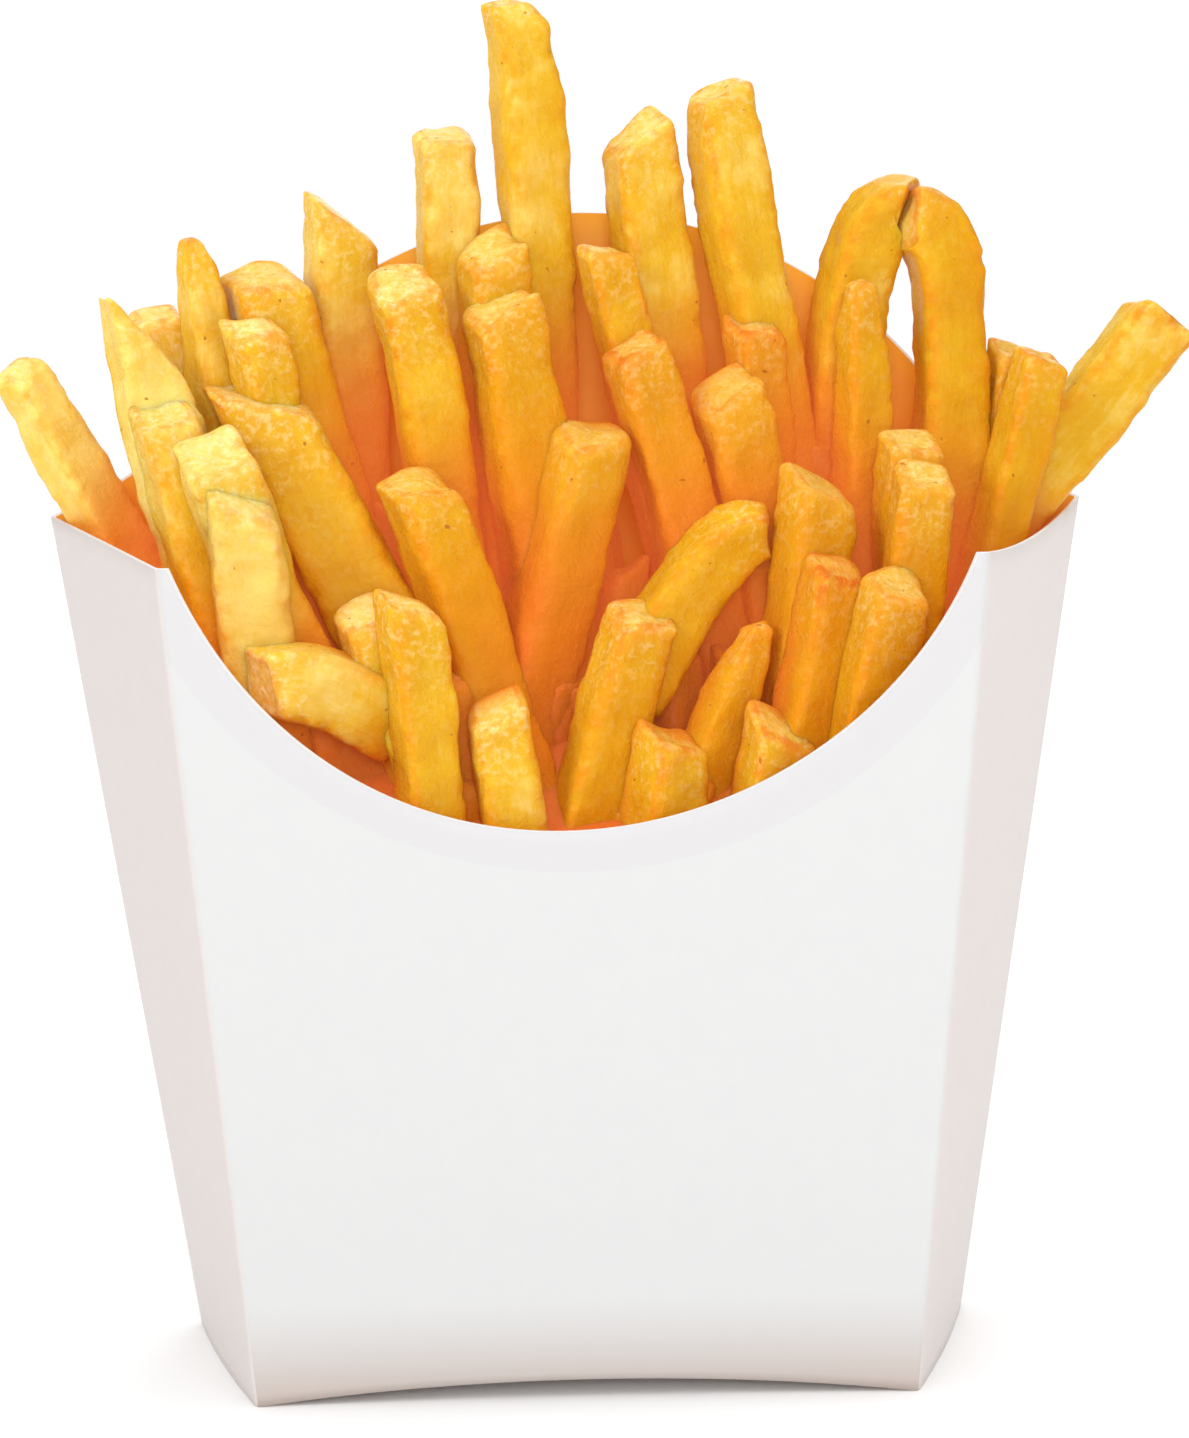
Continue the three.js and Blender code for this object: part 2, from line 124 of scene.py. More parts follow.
# Every fry that stands out of the heap.
FRIES = dict(
    back=dict(
        L1=fry((-73.2, 38, 132.8), (-48, 35.5, 86), 8, turn=42, point=0.75, cut=(0.3, -0.5),
            tone=0, frost=1),
        L3=fry((-54.3, 34, 140.2), (-42.3, 31, 86), 7.4, turn=15, cut=(0, -0.4), tone=0.3),
        L4=fry((-49, 29, 151), (-37.7, 25, 82), 7.2, turn=30, point=0.32, tone=0.3, burn=0.4),
        L5=fry((-39.8, 31, 144.9), (-25.4, 28, 83), 11, cut=(-0.15, -0.4), tone=0.42, frost=0.3),
        T0=fry((-29.5, 38, 152.6), (-28.2, 35, 87), 8.8, cut=(-0.8, -0.4), tone=0.22),
        T1=fry((-15.4, 38, 162.5), (-15.7, 35, 88), 7.8, turn=15, cut=(0, -0.45), tone=0.12),
        M7=fry((-9.3, 31, 148), (-7.3, 30, 84), 9, cut=(0.5, -0.45), frost=0.2),
        T2=fry((-7.1, 37, 180), (-6.1, 36, 87), 8.8, bend=(0.9, 37, 166.4), point=0.6,
            cut=(-0.3, -0.3), tone=0.34),
        M8=fry((5.2, 31, 148), (20.6, 28, 84), 7.8, point=0.8, cut=(-0.3, -0.3), tone=0.6,
            frost=0.2),
        T3=fry((10, 38, 163), (18, 35, 88), 9, cut=(0.6, -0.3), tone=0.3),
        T4=fry((21.1, 37, 168), (33.4, 32, 86), 8.9, cut=(0.35, -0.3), tone=0.38),
        M11=fry((25.2, 31, 137.6), (28.6, 28, 84), 7.4, turn=25, cut=(0, -0.4), tone=0.85,
            burn=0.5),
        R1=fry((46.2, 37, 151.9), (37.7, 34, 86), 9, bend=(34.4, 36, 155.8), turn=15,
            cut=(0.1, -0.3), tone=0.45, burn=0.4),
        R2=fry((39.1, 28, 143), (39.1, 26, 82), 7.4, turn=25, point=0.4, tone=0.6),
        R3=fry((45.8, 34, 150.9), (45.6, 30, 86), 9.2, bend=(57.6, 34, 150.4), turn=15,
            tone=0.55, burn=0.3),
        R4=fry((60.3, 34, 133), (52.5, 31, 84), 7.4, cut=(0, -0.4), tone=0.6),
        R6=fry((80.8, 37, 137), (44.8, 36.3, 94), 9.8, turn=5, cut=(0, 0.15), tone=0.2,
            burn=0.5, frost=0.1),
    ),
    middle=dict(
        L2=fry((-55.2, 22, 138.3), (-41.2, 16, 76.5), 9.8, point=0.85, cut=(-1.7, -0.3),
            tone=0.05),
        L6=fry((-40.9, 23, 139.1), (-26.9, 21, 79), 7.4, turn=30, cut=(0, -0.5), tone=0.35),
        L7=fry((-52.3, 15, 128.6), (-38.2, 11, 72.7), 8.8, cut=(0, -0.5), tone=0.3),
        L8=fry((-40.3, 21, 129.8), (-12.2, 16, 73.5), 12, turn=6, cut=(-0.8, -0.35), tone=0.4,
            shade=0.35),
        M5=fry((-21, 24, 144.1), (-13.5, 21, 80), 9, bend=(-15.5, 23, 121), turn=15,
            cut=(0.1, -0.7)),
        M6=fry((-8.3, 24, 141.2), (1.2, 17, 78), 10.2, cut=(0.42, -0.3), tone=0.72, frost=0.2),
        M3=fry((-19.7, 14, 119.2), (-4.8, 9, 72), 9.2, turn=25, cut=(-0.2, -0.6), frost=0.2,
            shade=0.6),
        M4=fry((3.4, 18, 124.5), (-10.7, 14, 75), 10, turn=25, cut=(0.35, -0.35), tone=0.6,
            frost=0.2),
        M9=fry((9, 24, 135.3), (25.4, 17, 78), 8.4, cut=(0.25, -0.3), tone=0.95, burn=0.5,
            frost=0.2),
        M10=fry((21, 24, 129.8), (31.4, 19, 79), 9.2, cut=(0.4, -0.5), tone=0.8, frost=0.2),
        R5=fry((63.1, 28, 133), (49.4, 20, 79), 7, turn=18, point=0.85, tone=0.6, burn=0.3),
        R7=fry((44.8, 20, 123), (42.7, 16, 77), 8.4, turn=15, cut=(0, -0.5), tone=0.65,
            shade=0.6),
        R9=fry((32.3, 15, 118), (27.2, 10, 74), 9.6, turn=25, cut=(-0.25, -0.45), tone=0.78,
            frost=0.2, shade=0.5),
        C1=fry((25.4, 16, 111.8), (6.6, 12, 90.5), 9.6, bend=(19.2, 15, 113.8), point=0.65,
            cut=(0.3, 0), tone=0.62, burn=0.3, frost=0.6, shade=0.15),
    ),
    front=dict(
        L9=fry((-45.2, 8, 124), (-23.7, 13, 72), 9.2, bend=(-38, 10.5, 98), turn=15,
            cut=(0, -0.6), tone=0.15),
        L10=fry((-41.7, 4, 118.6), (-38, 12, 67), 10.3, turn=10, point=0.85, cut=(-0.5, -0.4),
            tone=0.03),
        L11=fry((-40, 0.4, 95.3), (-23.5, 9, 89), 10.6, bend=(-31, 3.6, 95.6), turn=0,
            cut=(0.2, -0.2), tone=0.25),
        M1c=fry((-17, 8, 95.6), (-15.4, 8, 70), 7, turn=15, cut=(-0.4, -0.5)),
        M1a=fry((-26.5, 7.5, 103.1), (-14.6, 8, 70), 8.4, cut=(0, -0.5), tone=0.2, frost=0.8,
            shade=0.15),
        M1b=fry((-20.8, 2, 105.2), (-17.6, 3, 67), 7.8, turn=25, cut=(-0.5, -0.4), tone=0.4),
        M2=fry((-10, 2, 91.1), (-6.9, 3, 67), 8, turn=8, cut=(0.3, -0.5), tone=0.4),
        C2=fry((9.2, 9, 102), (-0.9, 6, 70), 9, cut=(0.3, -0.4), tone=0.55, burn=0.3, frost=0.4,
            shade=0.2),
        C3=fry((12.6, 2, 87.4), (9.6, 3, 66), 10.4, turn=30, point=0.85, cut=(-0.25, -0.3),
            burn=0.4, frost=0.2),
        C4=fry((24.2, 8, 101), (12.6, 6, 70), 7.6, turn=25, point=0.4, cut=(0.6, -0.3),
            tone=0.6, burn=0.3, shade=0.5),
        C5=fry((26.3, 2, 88.6), (22.6, 3, 66), 8.8, cut=(-0.3, -0.5), tone=0.6, burn=0.4),
        R8=fry((45.8, 12, 119.2), (40.1, 4, 70.2), 7.8, turn=6, cut=(0, -0.6), tone=0.72,
            frost=0.2),
        R10=fry((33.7, 7, 108), (26.1, 4, 69), 7.6, turn=25, cut=(0, -0.4), tone=0.95, burn=0.9),
        R11=fry((41.4, 3, 106), (32.3, 2, 67), 8.4, cut=(0.2, -0.5), tone=0.72, frost=0.2),
    ),
)

# How finely a fry is made, in columns round it and millimetres from row to row.
FRY_COLUMNS = 44
FRY_ROW = 0.75
FRY_SEEN = 62.0
BURIED_ROW = 2.2
END_ROWS = 6
END_RINGS = (0.93, 0.8, 0.62, 0.42, 0.2)

# How its shape departs from a plain bar, in millimetres unless it is a share of its side.
FRY_DEPTH = 0.95
END_ROUND = 1.1
END_UNEVEN = 0.10
END_LUMP = 0.45
END_TAPER = 0.07
TAPER_REACH = 0.7
END_PUSH = 0.6
POINT_REACH = 1.1
SHEAR_REACH = 1.6
CORNER_GATHER = 0.12
CORNER_POWER = 5.0
CORNER_CHANGE = 0.9
CORNER_RUN = 9.0
CORNER_SPREAD = 1.1
HOLLOW = 0.03
TWIST = 8.0
WANDER = 0.8
WANDER_SIZE = 19.0
WIDTH_CHANGE = 0.07
WIDTH_PACE = 1.6
DEPTH_PACE = 1.4
LUMPS = ((0.34, 5.6), (0.18, 2.5), (0.09, 1.25))
EDGE_WIDTH = 0.16
EDGE_CRUMB = 0.3
CRUMB_SIZE = 1.3

# Where each kind of noise is read. The first six are times a fry's seed, so no two are alike.
SHIFT = dict(walk=1.37, corner=0.61, end=0.77, lumps=0.37, crumbs=0.53, grain=7.0,
             sideways=0.3, inward=9.1, width=4.2, depth=6.6)

# Looks that the mesh carries. Faces differ a little in tone. Frost is thicker on the left. The
# painted shade is how deep orange a fry is painted where its neighbours shade it, from a level that
# rises towards the back. The glow is painted light, an emission standing in for the light that comes
# through there, less of it at the heap's front and in its core.
FACE_TONE = 0.08
TIP_REACH = 5.0
CAP_REACH = 0.4
RIM_WORN = 0.7
FROST_MIDDLE = 0.45
FROST_SLOPE = 0.006
BURY_BASE = 114.4
BURY_SLOPE = 0.96
BURY_SIDE = 20.0
BURY_WIDTH = 60.0
BURY_REACH = 34.0
BURY_FRONT = 8.0
BURY_BEHIND = (12.0, 26.0)
BEHIND_SPARED = 0.4
GLOW_FRONT = 0.25
GLOW_CORE = 0.5

# Shorter fries fill the heap between them, as the CAD has them.
FILL_ROWS = (7.0, 16.0, 25.0, 34.0)
FILL_STEP = 9.0
FILL_HALF = 40.5
FILL_SIDE = 7.6
FILL_DEPTH = 5.0
FILL_RISE = 26.0
FILL_LOWEST_RISE = 1.0
FILL_FRONT = 4.0
FILL_SPREAD = dict(across=6.0, rise=9.0, lean=9.0, seed=11)
FILL_LEAN = 0.4
FILL_TURN = 90.0
FILL_MESH_ROW = 1.6
FILL_TONE = (0.45, 0.9)
FILL_CUT = (-0.5, 0.5)

# Seeds: the noise lattice, the fill fries' looks, and each fry's own from the first of its group.
LATTICE_SEED = 5
LATTICE_SIZE = 32
FILL_LOOKS_SEED = 7
GROUP_SEEDS = dict(back=11, middle=21, front=31)
FILL_SEEDS = 200

# ------------------------ the colours

# The potato by tone, from pale to brown, and its painted shade by how deep in the heap it is.
TONES = (
    (0.0, (0.87, 0.70, 0.19)),
    (0.3, (0.745, 0.455, 0.020)),
    (0.6, (0.67, 0.325, 0.006)),
    (1.0, (0.62, 0.228, 0.006)),
)
PAINTED_SHADE_ORANGES = (
    (0.0, (0.70, 0.34, 0.006)),
    (0.35, (0.67, 0.22, 0.010)),
    (0.6, (0.65, 0.145, 0.013)),
    (0.8, (0.66, 0.125, 0.012)),
    (1.0, (0.54, 0.08, 0.012)),
)
PAINTED_SHADE_MIX = 0.85
TIP_YELLOW = (0.79, 0.55, 0.045)
# A pale crisp film, partly a painted highlight.
FILM_AND_HIGHLIGHT_PALE = (0.81, 0.62, 0.11)
CRUMB_PALE = (0.85, 0.66, 0.23)
CRUST_ORANGE = (0.76, 0.25, 0.006)
# Light grains, partly painted highlights.
GRAIN_AND_HIGHLIGHT_WHITE = (0.89, 0.76, 0.38)
# Painted shade on faces turned from the light.
SHADY_ORANGE = (0.71, 0.27, 0.004)
SPECK_BROWN = (0.36, 0.08, 0.008)
SCORCH_RED = (0.66, 0.17, 0.012)
# Painted light: an emission that stands in for the light that comes through the fries into the
# shaded parts of the heap.
BLACK = (0.0, 0.0, 0.0)
GLOW_COLOR = (1.0, 0.28, 0.08)
GLOW = 0.2
# Painted shade: where the light comes from as the fries' colour has it, and faces turned from it are
# painted deeper orange.
SUNNY = (-0.5, -0.6, 0.62)

# The board, each from the darker to the lighter parts of its mottle.
BOARD_WHITES = ((0.70, 0.70, 0.70), (0.712, 0.71, 0.706))
SIDE_GREYS = ((0.765, 0.70, 0.67), (0.78, 0.715, 0.685))
INSIDE_YELLOWS = ((0.95, 0.42, 0.022), (0.96, 0.46, 0.030))
EDGE_WHITES = ((0.80, 0.79, 0.77), (0.88, 0.87, 0.86))
FLOOR_WHITES = ((0.98, 0.98, 0.98), (0.985, 0.985, 0.985))
# The band that follows the scoop, by how far it reaches below the rim, on the front panel only.
BAND_GREY = (0.692, 0.68, 0.689)
BAND_REACH = (5.2, 5.5)
BAND_BEHIND = (1.5, 1.6)
# Painted shade: the board is painted darker towards the foot of the carton.
FOOT_PAINTED_SHADE = (0.56, 0.467, 0.42)
FOOT_SHADE_HEIGHT = 14.0
FOOT_SHADE_POWER = 1.3
# The range that most of a noise texture lies in.
MOST = (0.3, 0.7)

# ------------------------ the camera and light

IMAGE = (1189, 1438)
CAMERA = dict(distance=500.0, pitch=9.65, yaw=1.25, roll=1.0, aim=(2.4, 0.0, 90.1),
              focal_pixels=3943.0)
SENSOR = 36.0
CLIP = (0.01, 100.0)

# Soft light from above that fades down the sky, and a band of even light at the horizon.
LIGHT_FROM = tuple(Vector((0.0, -0.1, 0.99)).normalized())
WORLD_LOW = 0.2
WORLD_DARK = 0.0
WORLD_BRIGHT = 1.84
WORLD_HORIZON = 1.06
HORIZON_BAND = (0.03, 0.12)
# A key lamp from the left, in front and above, for the fries alone, a fill lamp that looks into the
# gaps, and one for the back.
LAMPS = (
    dict(name="key", place=(-0.42, -0.34, 0.40), size=0.2, power=1.14),
    dict(name="fill", place=(0.0, -0.75, 0.28), size=0.25, power=1.5),
    dict(name="back", place=(0.15, 0.9, 0.45), size=0.4, power=1.4),
)
LAMP_AIM = (0.0, 0.0, 0.11)
FLOOR_HALF = 30000.0

LATTICE = np.random.default_rng(LATTICE_SEED).uniform(-1.0, 1.0, (LATTICE_SIZE,) * 3)


def smooth(x):
    x = np.clip(x, 0.0, 1.0)
    return x * x * (3.0 - 2.0 * x)


def lattice_noise(points, size, shift=0.0):
    """Smooth noise between -1 and 1, with lumps of about the given size."""
    p = np.asarray(points, float) / size + shift
    cell = np.floor(p).astype(int)
    f = smooth(p - cell)
    total = np.zeros(p.shape[:-1])
    for corner in itertools.product((0, 1), repeat=3):
        weight = np.ones_like(total)
        for axis in range(3):
            weight = weight * (f[..., axis] if corner[axis] else 1.0 - f[..., axis])
        at = (cell + corner) % LATTICE.shape[0]
        total += weight * LATTICE[at[..., 0], at[..., 1], at[..., 2]]
    return total


def unit(v):
    v = np.asarray(v, float)
    return v / np.linalg.norm(v, axis=-1, keepdims=True)


# ------------------------ the carton's surface

def lerp(a, b, t):
    return a + (b - a) * t


def arched(share):
    """From nothing at both ends of a line to 1 in its middle."""
    return 4.0 * share * (1.0 - share)


def inset_outline(outline, inset):
    """The outline at a distance inside the given one."""
    depth = outline["back_y"] - outline["front_y"]
    flare = (outline["back_half"] - outline["front_half"]) / depth
    slant = math.hypot(1.0, flare)
    return dict(
        outline,
        front_half=outline["front_half"] + inset * (flare - slant),
        back_half=outline["back_half"] - inset * (flare + slant),
        front_y=outline["front_y"] + inset,
        back_y=outline["back_y"] - inset,
    )


def vault_height(x):
    return VAULT_RISE * max(0.0, 1.0 - (x / VAULT_HALF) ** 2)


def scoop_stations():
    """Shares across the front panel and the heights of its rim, from left to right."""
    centre = SCOOP_LOWEST + SCOOP_RADIUS
    end = math.acos((centre - RIM["front_z"]) / SCOOP_RADIUS)
    stations = [(-1.0 + CREASE / RIM["front_half"], RIM["front_z"])]
    for i in range(FRONT_STEPS + 1):
        a = lerp(-end, end, i / FRONT_STEPS)
        z = centre - SCOOP_RADIUS * math.cos(a)
        lean = SCOOP_LEAN * ((RIM["front_z"] - z) / (RIM["front_z"] - SCOOP_LOWEST)) ** 2
        stations.append(((SCOOP_RADIUS * math.sin(a) - lean) / RIM["front_half"], z))
    stations.append((1.0 - CREASE / RIM["front_half"], RIM["front_z"]))
    return stations


def arch_stations():
    """Shares across the back panel and the heights of its rim, from right to left."""
    centre = ARCH_HIGHEST - ARCH_RADIUS
    end = math.asin(ARCH_HALF / ARCH_RADIUS)
    corner = (RIM["back_half"], RIM["back_z"])

    def shoulder(sign):
        """From the corner to the arch's foot on the given side."""
        foot = (ARCH_HALF + sign * ARCH_MIDDLE, centre + ARCH_RADIUS * math.cos(end))
        first = CREASE / (corner[0] - foot[0]) / 2.0
        points = []
        for i in range(SHOULDER_STEPS):
            t = lerp(first, 1.0, i / SHOULDER_STEPS)
            weights = ((1 - t) ** 2, 2 * t * (1 - t), t * t)
            places = (corner, SHOULDER, foot)
            x, z = (sum(w * p[k] for w, p in zip(weights, places)) for k in (0, 1))
            points.append((sign * x, z))
        return points

    arch = []
    for i in range(ARCH_STEPS + 1):
        a = lerp(end, -end, i / ARCH_STEPS)
        arch.append((ARCH_MIDDLE + ARCH_RADIUS * math.sin(a), centre + ARCH_RADIUS * math.cos(a)))
    rim = [*shoulder(1), *arch, *reversed(shoulder(-1))]
    return [(x / RIM["back_half"], z) for x, z in rim]


def side_rim(sign, share):
    """The height of a side's rim, which dips on the right."""
    dip = RIGHT_DIP * arched(share) if sign > 0 else 0.0
    return lerp(RIM["front_z"], RIM["back_z"], share) - dip


def wall_point(station, up, inset, foot_lift=0.0, rim_lift=0.0):
    """The point at a share of the way up one upright line of the carton's wall."""
    panel, sign, share, rim_z = station
    foot_outline, rim_outline = inset_outline(BASE, inset), inset_outline(RIM, inset)
    feet = []
    for outline in (foot_outline, rim_outline):
        if panel == "front":
            feet.append((share * outline["front_half"], outline["front_y"]))
        elif panel == "back":
            feet.append((share * outline["back_half"], outline["back_y"]))
        else:
            feet.append((sign * lerp(outline["front_half"], outline["back_half"], share),
                         lerp(outline["front_y"], outline["back_y"], share)))
    (fx, fy), (rx, ry) = feet
    x = lerp(fx, rx, up)
    foot_z = 0.0 if panel == "side" else vault_height(fx)
    z = lerp(foot_z + foot_lift, rim_z + rim_lift, up)
    if panel == "side":
        bow = SIDE_BOW * arched(share) * (1.0 - up) ** 2
        return np.array([x + sign * bow, lerp(fy, ry, up), z])
    corner_z = RIM["front_z"] if panel == "front" else RIM["back_z"]
    curl = CURL_DEPTH * (1.0 - share ** 2) * max(0.0, 1.0 - z / CURL_HEIGHT) ** 2
    return np.array([x, lerp(fy, ry, z / corner_z) + (curl if panel == "front" else -curl), z])


def buckle(point, station, up):
    """How far the board stands off its flat panel: nothing at the creases, a little between."""
    panel, _, share, _ = station
    middle = 1.0 - share ** 2 if panel != "side" else arched(share)
    noise = lattice_noise(point, BUCKLE_SIZE, BUCKLE_SHIFT)
    return BUCKLE * middle * noise * min(1.0, up / BUCKLE_START)


def carton_column(station, rows):
    """The points of one upright line: base, outside, rim, inside and base again."""
    panel, sign = station[:2]
    directions = {"front": (0, -1, 0), "back": (0, 1, 0), "side": (sign, 0, 0)}
    outward = np.array(directions[panel], float)
    middle_y = (BASE["front_y"] + BASE["back_y"]) / 2.0

    def wall(up, inset, foot_lift=0.0, rim_lift=0.0):
        p = wall_point(station, up, inset, foot_lift, rim_lift)
        q = wall_point(station, up, 0.0)
        return p + outward * min(0.0, buckle(q, station, up))

    def base(out, inset, lift):
        p = wall_point(station, 0.0, inset)
        x = p[0] * out
        return np.array([x, lerp(middle_y, p[1], out), vault_height(x) + lift])

    points = [base(out, 0.0, 0.0) for out in BASE_RINGS]
    points += [wall(up, 0.0, 0.0, -RIM_ROUND) for up in rows]
    points += [wall(1.0, RIM_ROUND), wall(1.0, BOARD / 2.0), wall(1.0, BOARD - RIM_ROUND)]
    points += [wall(up, BOARD, BOARD, -RIM_ROUND) for up in reversed(rows)]
    points += [base(out, BOARD, BOARD) for out in reversed(BASE_RINGS)]
    return np.array(points)


def blend_columns(before, corner, after, t):
    """One upright line of the round crease between two panels."""
    return (1 - t) ** 2 * before + 2 * t * (1 - t) * corner + t * t * after


def carton_arrays():
    """The carton's upright lines, the places on them where the outside and the rim's edge end, and
    the lines that are on its sides."""
    foot_rows = np.linspace(0.0, FOOT_SHARE, FOOT_STEPS)[:-1]
    rows = np.concatenate([foot_rows, np.linspace(FOOT_SHARE, 1.0, WALL_STEPS)])
    front = [("front", 0, share, z) for share, z in scoop_stations()]
    back = [("back", 0, share, z) for share, z in arch_stations()]
    length = math.hypot(RIM["back_half"] - RIM["front_half"], RIM["back_y"] - RIM["front_y"])
    near = CREASE / length
    shares = [lerp(near, 1.0 - near, i / SIDE_STEPS) for i in range(SIDE_STEPS + 1)]
    right = [("side", 1, share, side_rim(1, share)) for share in shares]
    left = [("side", -1, share, side_rim(-1, share)) for share in reversed(shares)]
    panels = [front, right, back, left]
    corners = [
        ("front", 0, 1.0, RIM["front_z"]),
        ("back", 0, 1.0, RIM["back_z"]),
        ("back", 0, -1.0, RIM["back_z"]),
        ("front", 0, -1.0, RIM["front_z"]),
    ]
    columns = []
    side_columns = []
    for i, panel in enumerate(panels):
        first = len(columns)
        columns += [carton_column(station, rows) for station in panel]
        if i % 2:
            side_columns += range(first - CREASE_STEPS // 2, len(columns) + CREASE_STEPS // 2)
        before = columns[-1]
        corner = carton_column(corners[i], rows)
        after = carton_column(panels[(i + 1) % 4][0], rows)
        for k in range(1, CREASE_STEPS + 1):
            columns.append(blend_columns(before, corner, after, k / (CREASE_STEPS + 1)))
    columns = np.array(columns)
    outside = len(BASE_RINGS) + len(rows) - 1
    edge = outside + RIM_FACES
    return columns, outside, edge, side_columns


# ------------------------ a fry's surface

def section_angles():
    """Directions round a fry's section, closer together at its corners."""
    turn = np.linspace(0.0, 2.0 * math.pi, FRY_COLUMNS, endpoint=False)
    return turn + CORNER_GATHER * np.sin(4.0 * turn)


def squared(angle, power):
    """How far the outline of a rounded square of half width 1 is in a direction."""
    return (np.abs(np.cos(angle)) ** power + np.abs(np.sin(angle)) ** power) ** (-1.0 / power)


def fry_rows(length, row):
    """Distances from the tip: close rows where the fry shows, wider ones where it is buried."""
    bend = np.linspace(0.0, math.pi / 2.0, END_ROWS)
    end = END_ROUND * (1.0 - np.sin(bend))
    shown = np.arange(min(FRY_SEEN, length), END_ROUND, -row)
    below = np.arange(length, FRY_SEEN + BURIED_ROW / 2.0, -BURIED_ROW) if length > FRY_SEEN else []
    return np.concatenate([below, shown, end])


def fry_line(spec, row, own):
    """Each row's distance from the tip and its middle, and the directions along the fry and across
    its section, which turns a little from foot to tip."""
    tip, foot = np.array(spec["tip"], float), np.array(spec["foot"], float)
    middle = np.array(spec.get("bend", (tip + foot) / 2.0), float)
    length = float(np.linalg.norm(tip - middle) + np.linalg.norm(middle - foot))
    gap = fry_rows(length, row)
    t = (1.0 - gap / length)[:, None]
    spine = (1 - t) ** 2 * foot + 2 * t * (1 - t) * middle + t * t * tip
    along = unit(2 * (1 - t) * (middle - foot) + 2 * t * (tip - middle))
    across = unit(np.cross(along, (0.0, -1.0, 0.0)))
    outward = np.cross(across, along)
    twist = np.radians(spec["turn"] + own.uniform(-TWIST, TWIST) * gap / length)[:, None]
    u_axis = across * np.cos(twist) - outward * np.sin(twist)
    v_axis = outward * np.cos(twist) + across * np.sin(twist)
    return gap, spine, along, u_axis, v_axis


def fry_section(spec, seed, gap, walk, angle):
    """The outline of each row: a rounded square that is narrower at the tip, whose width wanders
    and whose corners are crisp in places and worn in others."""
    side = spec["side"]
    half = side / 2.0
    wide = 1.0 + WIDTH_CHANGE * lattice_noise(walk * WIDTH_PACE, 1.0, SHIFT["width"])
    deep = (1.0 + WIDTH_CHANGE * lattice_noise(walk * DEPTH_PACE, 1.0, SHIFT["depth"])) * FRY_DEPTH
    narrow = 1.0 - (1.0 - spec["point"]) * np.exp(-gap / (POINT_REACH * side))
    narrow = narrow * (1.0 - END_TAPER * np.exp(-gap / (TAPER_REACH * side)))
    inside = np.clip(1.0 - gap / END_ROUND, 0.0, 1.0)
    narrow = narrow - (END_ROUND / half) * (1.0 - np.sqrt(1.0 - inside ** 2))
    circle = np.stack([np.cos(angle), np.sin(angle)], 1)
    ring = np.concatenate([
        np.repeat(circle[None] * CORNER_SPREAD, len(gap), 0),
        np.repeat((gap / CORNER_RUN)[:, None, None], FRY_COLUMNS, 1),
    ], 2)
    change = CORNER_CHANGE * lattice_noise(ring, 1.0, seed * SHIFT["corner"])
    reach = squared(angle[None], CORNER_POWER * 2.0 ** change)
    reach = reach * (1.0 - HOLLOW * np.cos(2.0 * angle[None]) ** 2)
    u = reach * np.cos(angle) * (half * narrow * wide)[:, None]
    v = reach * np.sin(angle) * (half * narrow * deep)[:, None]
    return u, v


def shaded(points, shade):
    """How much painted shade each point takes, by how deep in the heap's shade it is, and how much
    painted glow stands in for the light that comes through there.
    """
    x, y, z = points.T
    level = BURY_BASE + BURY_SLOPE * y - BURY_SIDE * np.abs(x / BURY_WIDTH) ** 3
    behind = smooth((y - BURY_BEHIND[0]) / (BURY_BEHIND[1] - BURY_BEHIND[0]))
    painted_shade = np.clip((level - z) / BURY_REACH, 0.0, 1.0 - BEHIND_SPARED * behind)
    painted_shade = painted_shade * np.clip(y / BURY_FRONT, 0.0, 1.0) * shade
    return painted_shade, painted_shade * (GLOW_FRONT + (1.0 - GLOW_FRONT) * behind)


